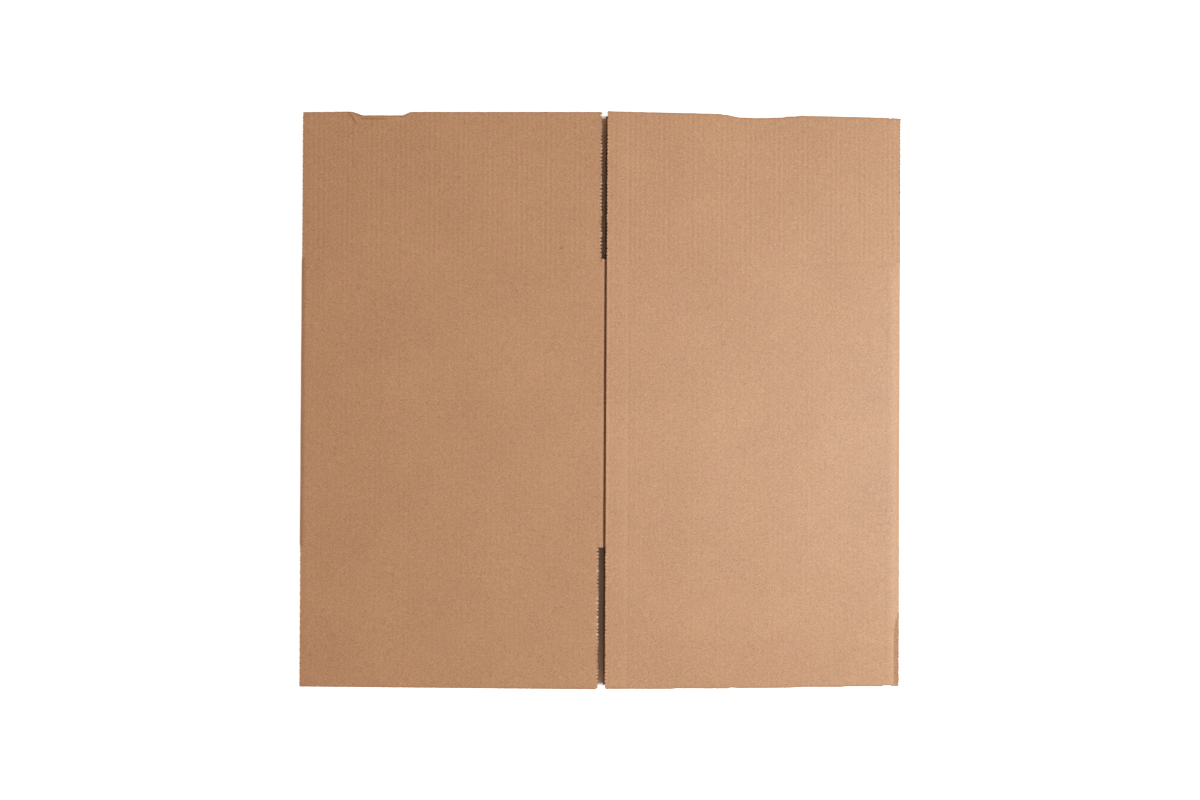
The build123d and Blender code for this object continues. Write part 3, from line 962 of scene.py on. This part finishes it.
# Both lower walls and their flaps as one flat sheet, cut by the slots at the back score
def makeLower():
    store = []
    liner = box["liner"]
    half = box["backSlot"] / 2
    edge = xRight - box["flapInset"]
    atScore = (xBackScore + away for away in (-half, *lowerLook["scoreColumns"], half))
    cols = columns(-edge, edge, steps["lower"], (leftCentre[0], rightCentre[0], *atScore))
    topRows = yTopScore + flapRows(box["topFlap"], steps["coarseRows"])[5:]
    bottomRows = yBottomScore - flapRows(box["bottomFlap"], steps["coarseRows"])[:4:-1]
    rows = np.concatenate([bottomRows, wallRows(steps["coarseRows"]), topRows])
    s, y = np.meshgrid(cols, rows)
    start = yTop - endBand
    y = np.where(y > start, start + (y - start) * (endBand - topBump(s)) / endBand, y)
    y = np.where(y < -start, -start + (y + start) * (endBand - bottomBump(s)) / endBand, y)
    place = cellMiddles(s, y)[0]
    row = np.tile(((rows[:-1] + rows[1:]) / 2)[:, None], (1, len(cols) - 1))
    inBody = (row > yBottomScore) & (row < yTopScore)
    inSlot = np.abs(place - xBackScore) < half
    keep = np.where(inBody, (place > leftCentre[0]) & (place < rightCentre[0]), ~inSlot)
    back = np.where((y >= yBottomScore) & (y <= yTopScore), scored(s, (xBackScore,)), 1.0)
    share = np.minimum(scored(y), back)
    rub = lowerLook["rub"] * np.maximum(1 + swell(s, y, lowerLook["rubSeed"], *lowerLook["rubLengths"]), 0)
    layer(store, lowerPath, s, y, rub, rub + liner, keep, outerPaints, True)
    besideSlot = 1 - smooth(np.abs(s - xBackScore), half, half + lowerLook["slotShadeWidth"])
    slotShade = 1 - lowerLook["slotShade"] * besideSlot * (np.abs(y) > min(yTopScore, -yBottomScore))
    layer(store, lowerPath, s, y, (board - liner) * share, board * share, keep,
          faceDown=True, backShade=slotShade)
    nearEnd = np.abs(row) > yTop - endBand - bandMargin
    nearSide = (np.abs(place) > edge - sideBand) | (np.abs(place - xBackScore) < half + sideBand)
    banded = keep & (nearEnd | (nearSide & ~inBody))
    layer(store, lowerPath, s, y, middleLiner * share, (middleLiner + liner) * share, banded, faceDown=True)
    for sign, length in ((1, box["topFlap"]), (-1, box["bottomFlap"])):
        rows = flapRows(length, steps["coarseRows"])[4:]
        for start, end in ((-edge, xBackScore - half), (xBackScore + half, edge)):
            fluteBands(store, lowerPath, start, end, rows, length, sign, faceDown=True)
    return makePiece("lowerSheet", store, papers)


lowerSheet = makeLower()
for piece in (leftWall, rightWall, lowerSheet):
    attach(piece, "box_sheet")
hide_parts("box_body")
print("lower sheet made")

# Floor: pale, and painted a darker brown under the box, a painted shade with the board's warm bounce
# seen through the slots, and plain white to the camera outside its footprint. The footprint's ends draw
# in by "narrowing" times |x|, as the box is highest at its middle.
floorLook = {
    "size": 12.0, "below": 0.0004, "colour": (0.86, 0.86, 0.86), "paintedUnderShade": (0.62, 0.49, 0.385),
    "roughness": 0.9, "shine": 0.1, "glow": 0.72, "edge": 0.006, "narrowing": 0.03, "clearWithin": 0.004,
    "reach": (xRight * toMetres - 0.002, yTop * toMetres + 0.0035),
}


def makeFloor():
    h = floorLook["size"] / 2
    mesh = bpy.data.meshes.new("floor")
    mesh.from_pydata([(-h, -h, 0), (h, -h, 0), (h, h, 0), (-h, h, 0)], [], [(0, 1, 2, 3)])
    floor = bpy.data.objects.new("floor", mesh)
    floor.location.z = -floorLook["below"]
    bpy.context.scene.collection.objects.link(floor)
    material = bpy.data.materials.new("paleFloor")
    tree, shader = nodesOf(material)
    shader.inputs["Roughness"].default_value = floorLook["roughness"]
    shader.inputs["Specular IOR Level"].default_value = floorLook["shine"]
    rays = tree.nodes.new("ShaderNodeLightPath")
    seen = mathNode(tree, "ADD", rays.outputs["Is Camera Ray"], rays.outputs["Is Glossy Ray"])
    seen = mathNode(tree, "ADD", seen, rays.outputs["Is Transmission Ray"], True)
    place = tree.nodes.new("ShaderNodeTexCoord")
    parts = tree.nodes.new("ShaderNodeSeparateXYZ")
    link(tree, place.outputs["Object"], parts.inputs[0])
    sides = []
    across, along = (mathNode(tree, "ABSOLUTE", parts.outputs[axis], 0.0) for axis in (0, 1))
    along = mathNode(tree, "ADD", along, mathNode(tree, "MULTIPLY", across, floorLook["narrowing"]))
    for distance, reach in zip((across, along), floorLook["reach"]):
        away = mathNode(tree, "SUBTRACT", distance, reach - floorLook["edge"])
        sides.append(mathNode(tree, "MULTIPLY", away, 1 / floorLook["edge"], True))
    outside = mathNode(tree, "MAXIMUM", sides[0], sides[1])
    colour = blendColour(tree, "MIX", outside, floorLook["paintedUnderShade"], floorLook["colour"])
    link(tree, colour, shader.inputs["Base Color"])
    glow = mathNode(tree, "MULTIPLY", mathNode(tree, "MULTIPLY", seen, outside), floorLook["glow"])
    shader.inputs["Emission Color"].default_value = (1, 1, 1, 1)
    link(tree, glow, shader.inputs["Emission Strength"])
    # from below, and for rays that leave the box's underside, the floor is clear
    below = tree.nodes.new("ShaderNodeNewGeometry")
    close = mathNode(tree, "LESS_THAN", rays.outputs["Ray Length"], floorLook["clearWithin"])
    clear = tree.nodes.new("ShaderNodeBsdfTransparent")
    mix = tree.nodes.new("ShaderNodeMixShader")
    link(tree, mathNode(tree, "MAXIMUM", below.outputs["Backfacing"], close), mix.inputs[0])
    link(tree, shader.outputs[0], mix.inputs[1])
    link(tree, clear.outputs[0], mix.inputs[2])
    link(tree, mix.outputs[0], tree.nodes["Material Output"].inputs["Surface"])
    mesh.materials.append(material)


makeFloor()

# Light: a soft window-like lamp high on the right, a weak one overhead, and an even, warmer sky
lights = {
    "key": {"place": (1.3, -0.1, 1.6), "size": 0.8, "power": 31.0, "colour": (0.75, 0.93, 1.0)},
    "overhead": {"place": (0.3, -0.2, 2.2), "size": 0.8, "power": 8.0, "colour": (1.0, 0.90, 0.78)},
}
sky = {"colour": (1.0, 0.83, 0.73), "strength": 0.445}

for name, lamp in lights.items():
    data = bpy.data.lights.new(name, "AREA")
    data.shape = "SQUARE"
    data.size = lamp["size"]
    data.energy = lamp["power"]
    data.color = lamp["colour"]
    light = bpy.data.objects.new(name, data)
    light.visible_camera = False
    light.location = lamp["place"]
    light.rotation_euler = (-light.location).to_track_quat("-Z", "Y").to_euler()
    bpy.context.scene.collection.objects.link(light)

world = bpy.data.worlds.new("softSky")
bpy.context.scene.world = world
world.use_nodes = True
tree = world.node_tree
backdrop = tree.nodes["Background"]
backdrop.inputs["Color"].default_value = (*sky["colour"], 1)
backdrop.inputs["Strength"].default_value = sky["strength"]
white = tree.nodes.new("ShaderNodeBackground")
white.inputs["Color"].default_value = (1, 1, 1, 1)
rays = tree.nodes.new("ShaderNodeLightPath")
mix = tree.nodes.new("ShaderNodeMixShader")
seen = mathNode(tree, "ADD", rays.outputs["Is Camera Ray"], rays.outputs["Is Transmission Ray"], True)
link(tree, seen, mix.inputs[0])
link(tree, backdrop.outputs[0], mix.inputs[1])
link(tree, white.outputs[0], mix.inputs[2])
link(tree, mix.outputs[0], tree.nodes["World Output"].inputs["Surface"])
bpy.context.scene.view_settings.view_transform = "Standard"

# Camera: straight above, with the small tilts that the box's outline gives. Focus is in pixels of a
# picture that many pixels wide.
lens = {
    "place": (-0.0434, -0.01110, 1.750), "tiltX": -0.375, "tiltY": 1.342, "roll": -0.285,
    "focus": 1287.0, "pixels": 1200, "sensor": 36.0,
}
camera = bpy.data.objects.new("camera", bpy.data.cameras.new("camera"))
bpy.context.scene.collection.objects.link(camera)
turn = Matrix.Rotation(math.radians(lens["roll"]), 3, "Z")
turn = turn @ Matrix.Rotation(math.radians(lens["tiltX"]), 3, "X")
turn = turn @ Matrix.Rotation(math.radians(lens["tiltY"]), 3, "Y")
camera.rotation_euler = turn.transposed().to_euler()
camera.location = lens["place"]
camera.data.sensor_width = lens["sensor"]
camera.data.lens = lens["sensor"] * lens["focus"] / lens["pixels"]
bpy.context.scene.camera = camera
print("light and camera set")

bpy.context.view_layer.update()
